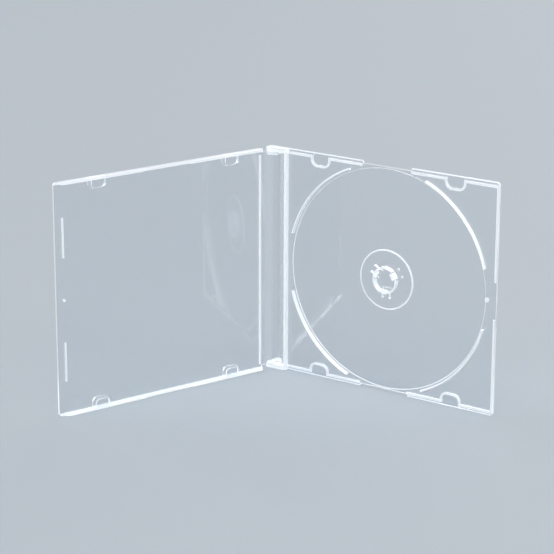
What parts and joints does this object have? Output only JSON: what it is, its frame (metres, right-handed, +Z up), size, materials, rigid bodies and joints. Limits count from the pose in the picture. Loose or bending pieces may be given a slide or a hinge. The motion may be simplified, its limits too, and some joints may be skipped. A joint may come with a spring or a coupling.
{
  "type": "slim disc case",
  "caption": "Slim clear plastic disc case, standing open like a book: a hinged lid with booklet tabs and a tray with a raised hub ring.",
  "frame": {"origin": "on the hinge line, in the plane that the standing case rests on (the outer face of the tray's lower lug)", "axes": "+Z up along the hinge line; +Y out of the tray's flat back; +X from the hinge along the tray to its opening edge. The lid is stored opened by 108.4 degrees, standing towards -Y"},
  "size_m": [0.1834, 0.1351, 0.125],
  "materials": {
    "clear_tray": "clear, polished, moulded",
    "clear_lid": "clear, polished, moulded"
  },
  "bodies": {
    "tray": {"tray": "clear_tray"},
    "lid": {"lid": "clear_lid"}
  },
  "joints": [
    {"name": "lid_hinge", "type": "hinge", "parent": "tray", "child": "lid", "pos_m": [0, 0, 0], "axis": [0, 0, 1], "range_deg": [-71.6, 108.4]}
  ]
}
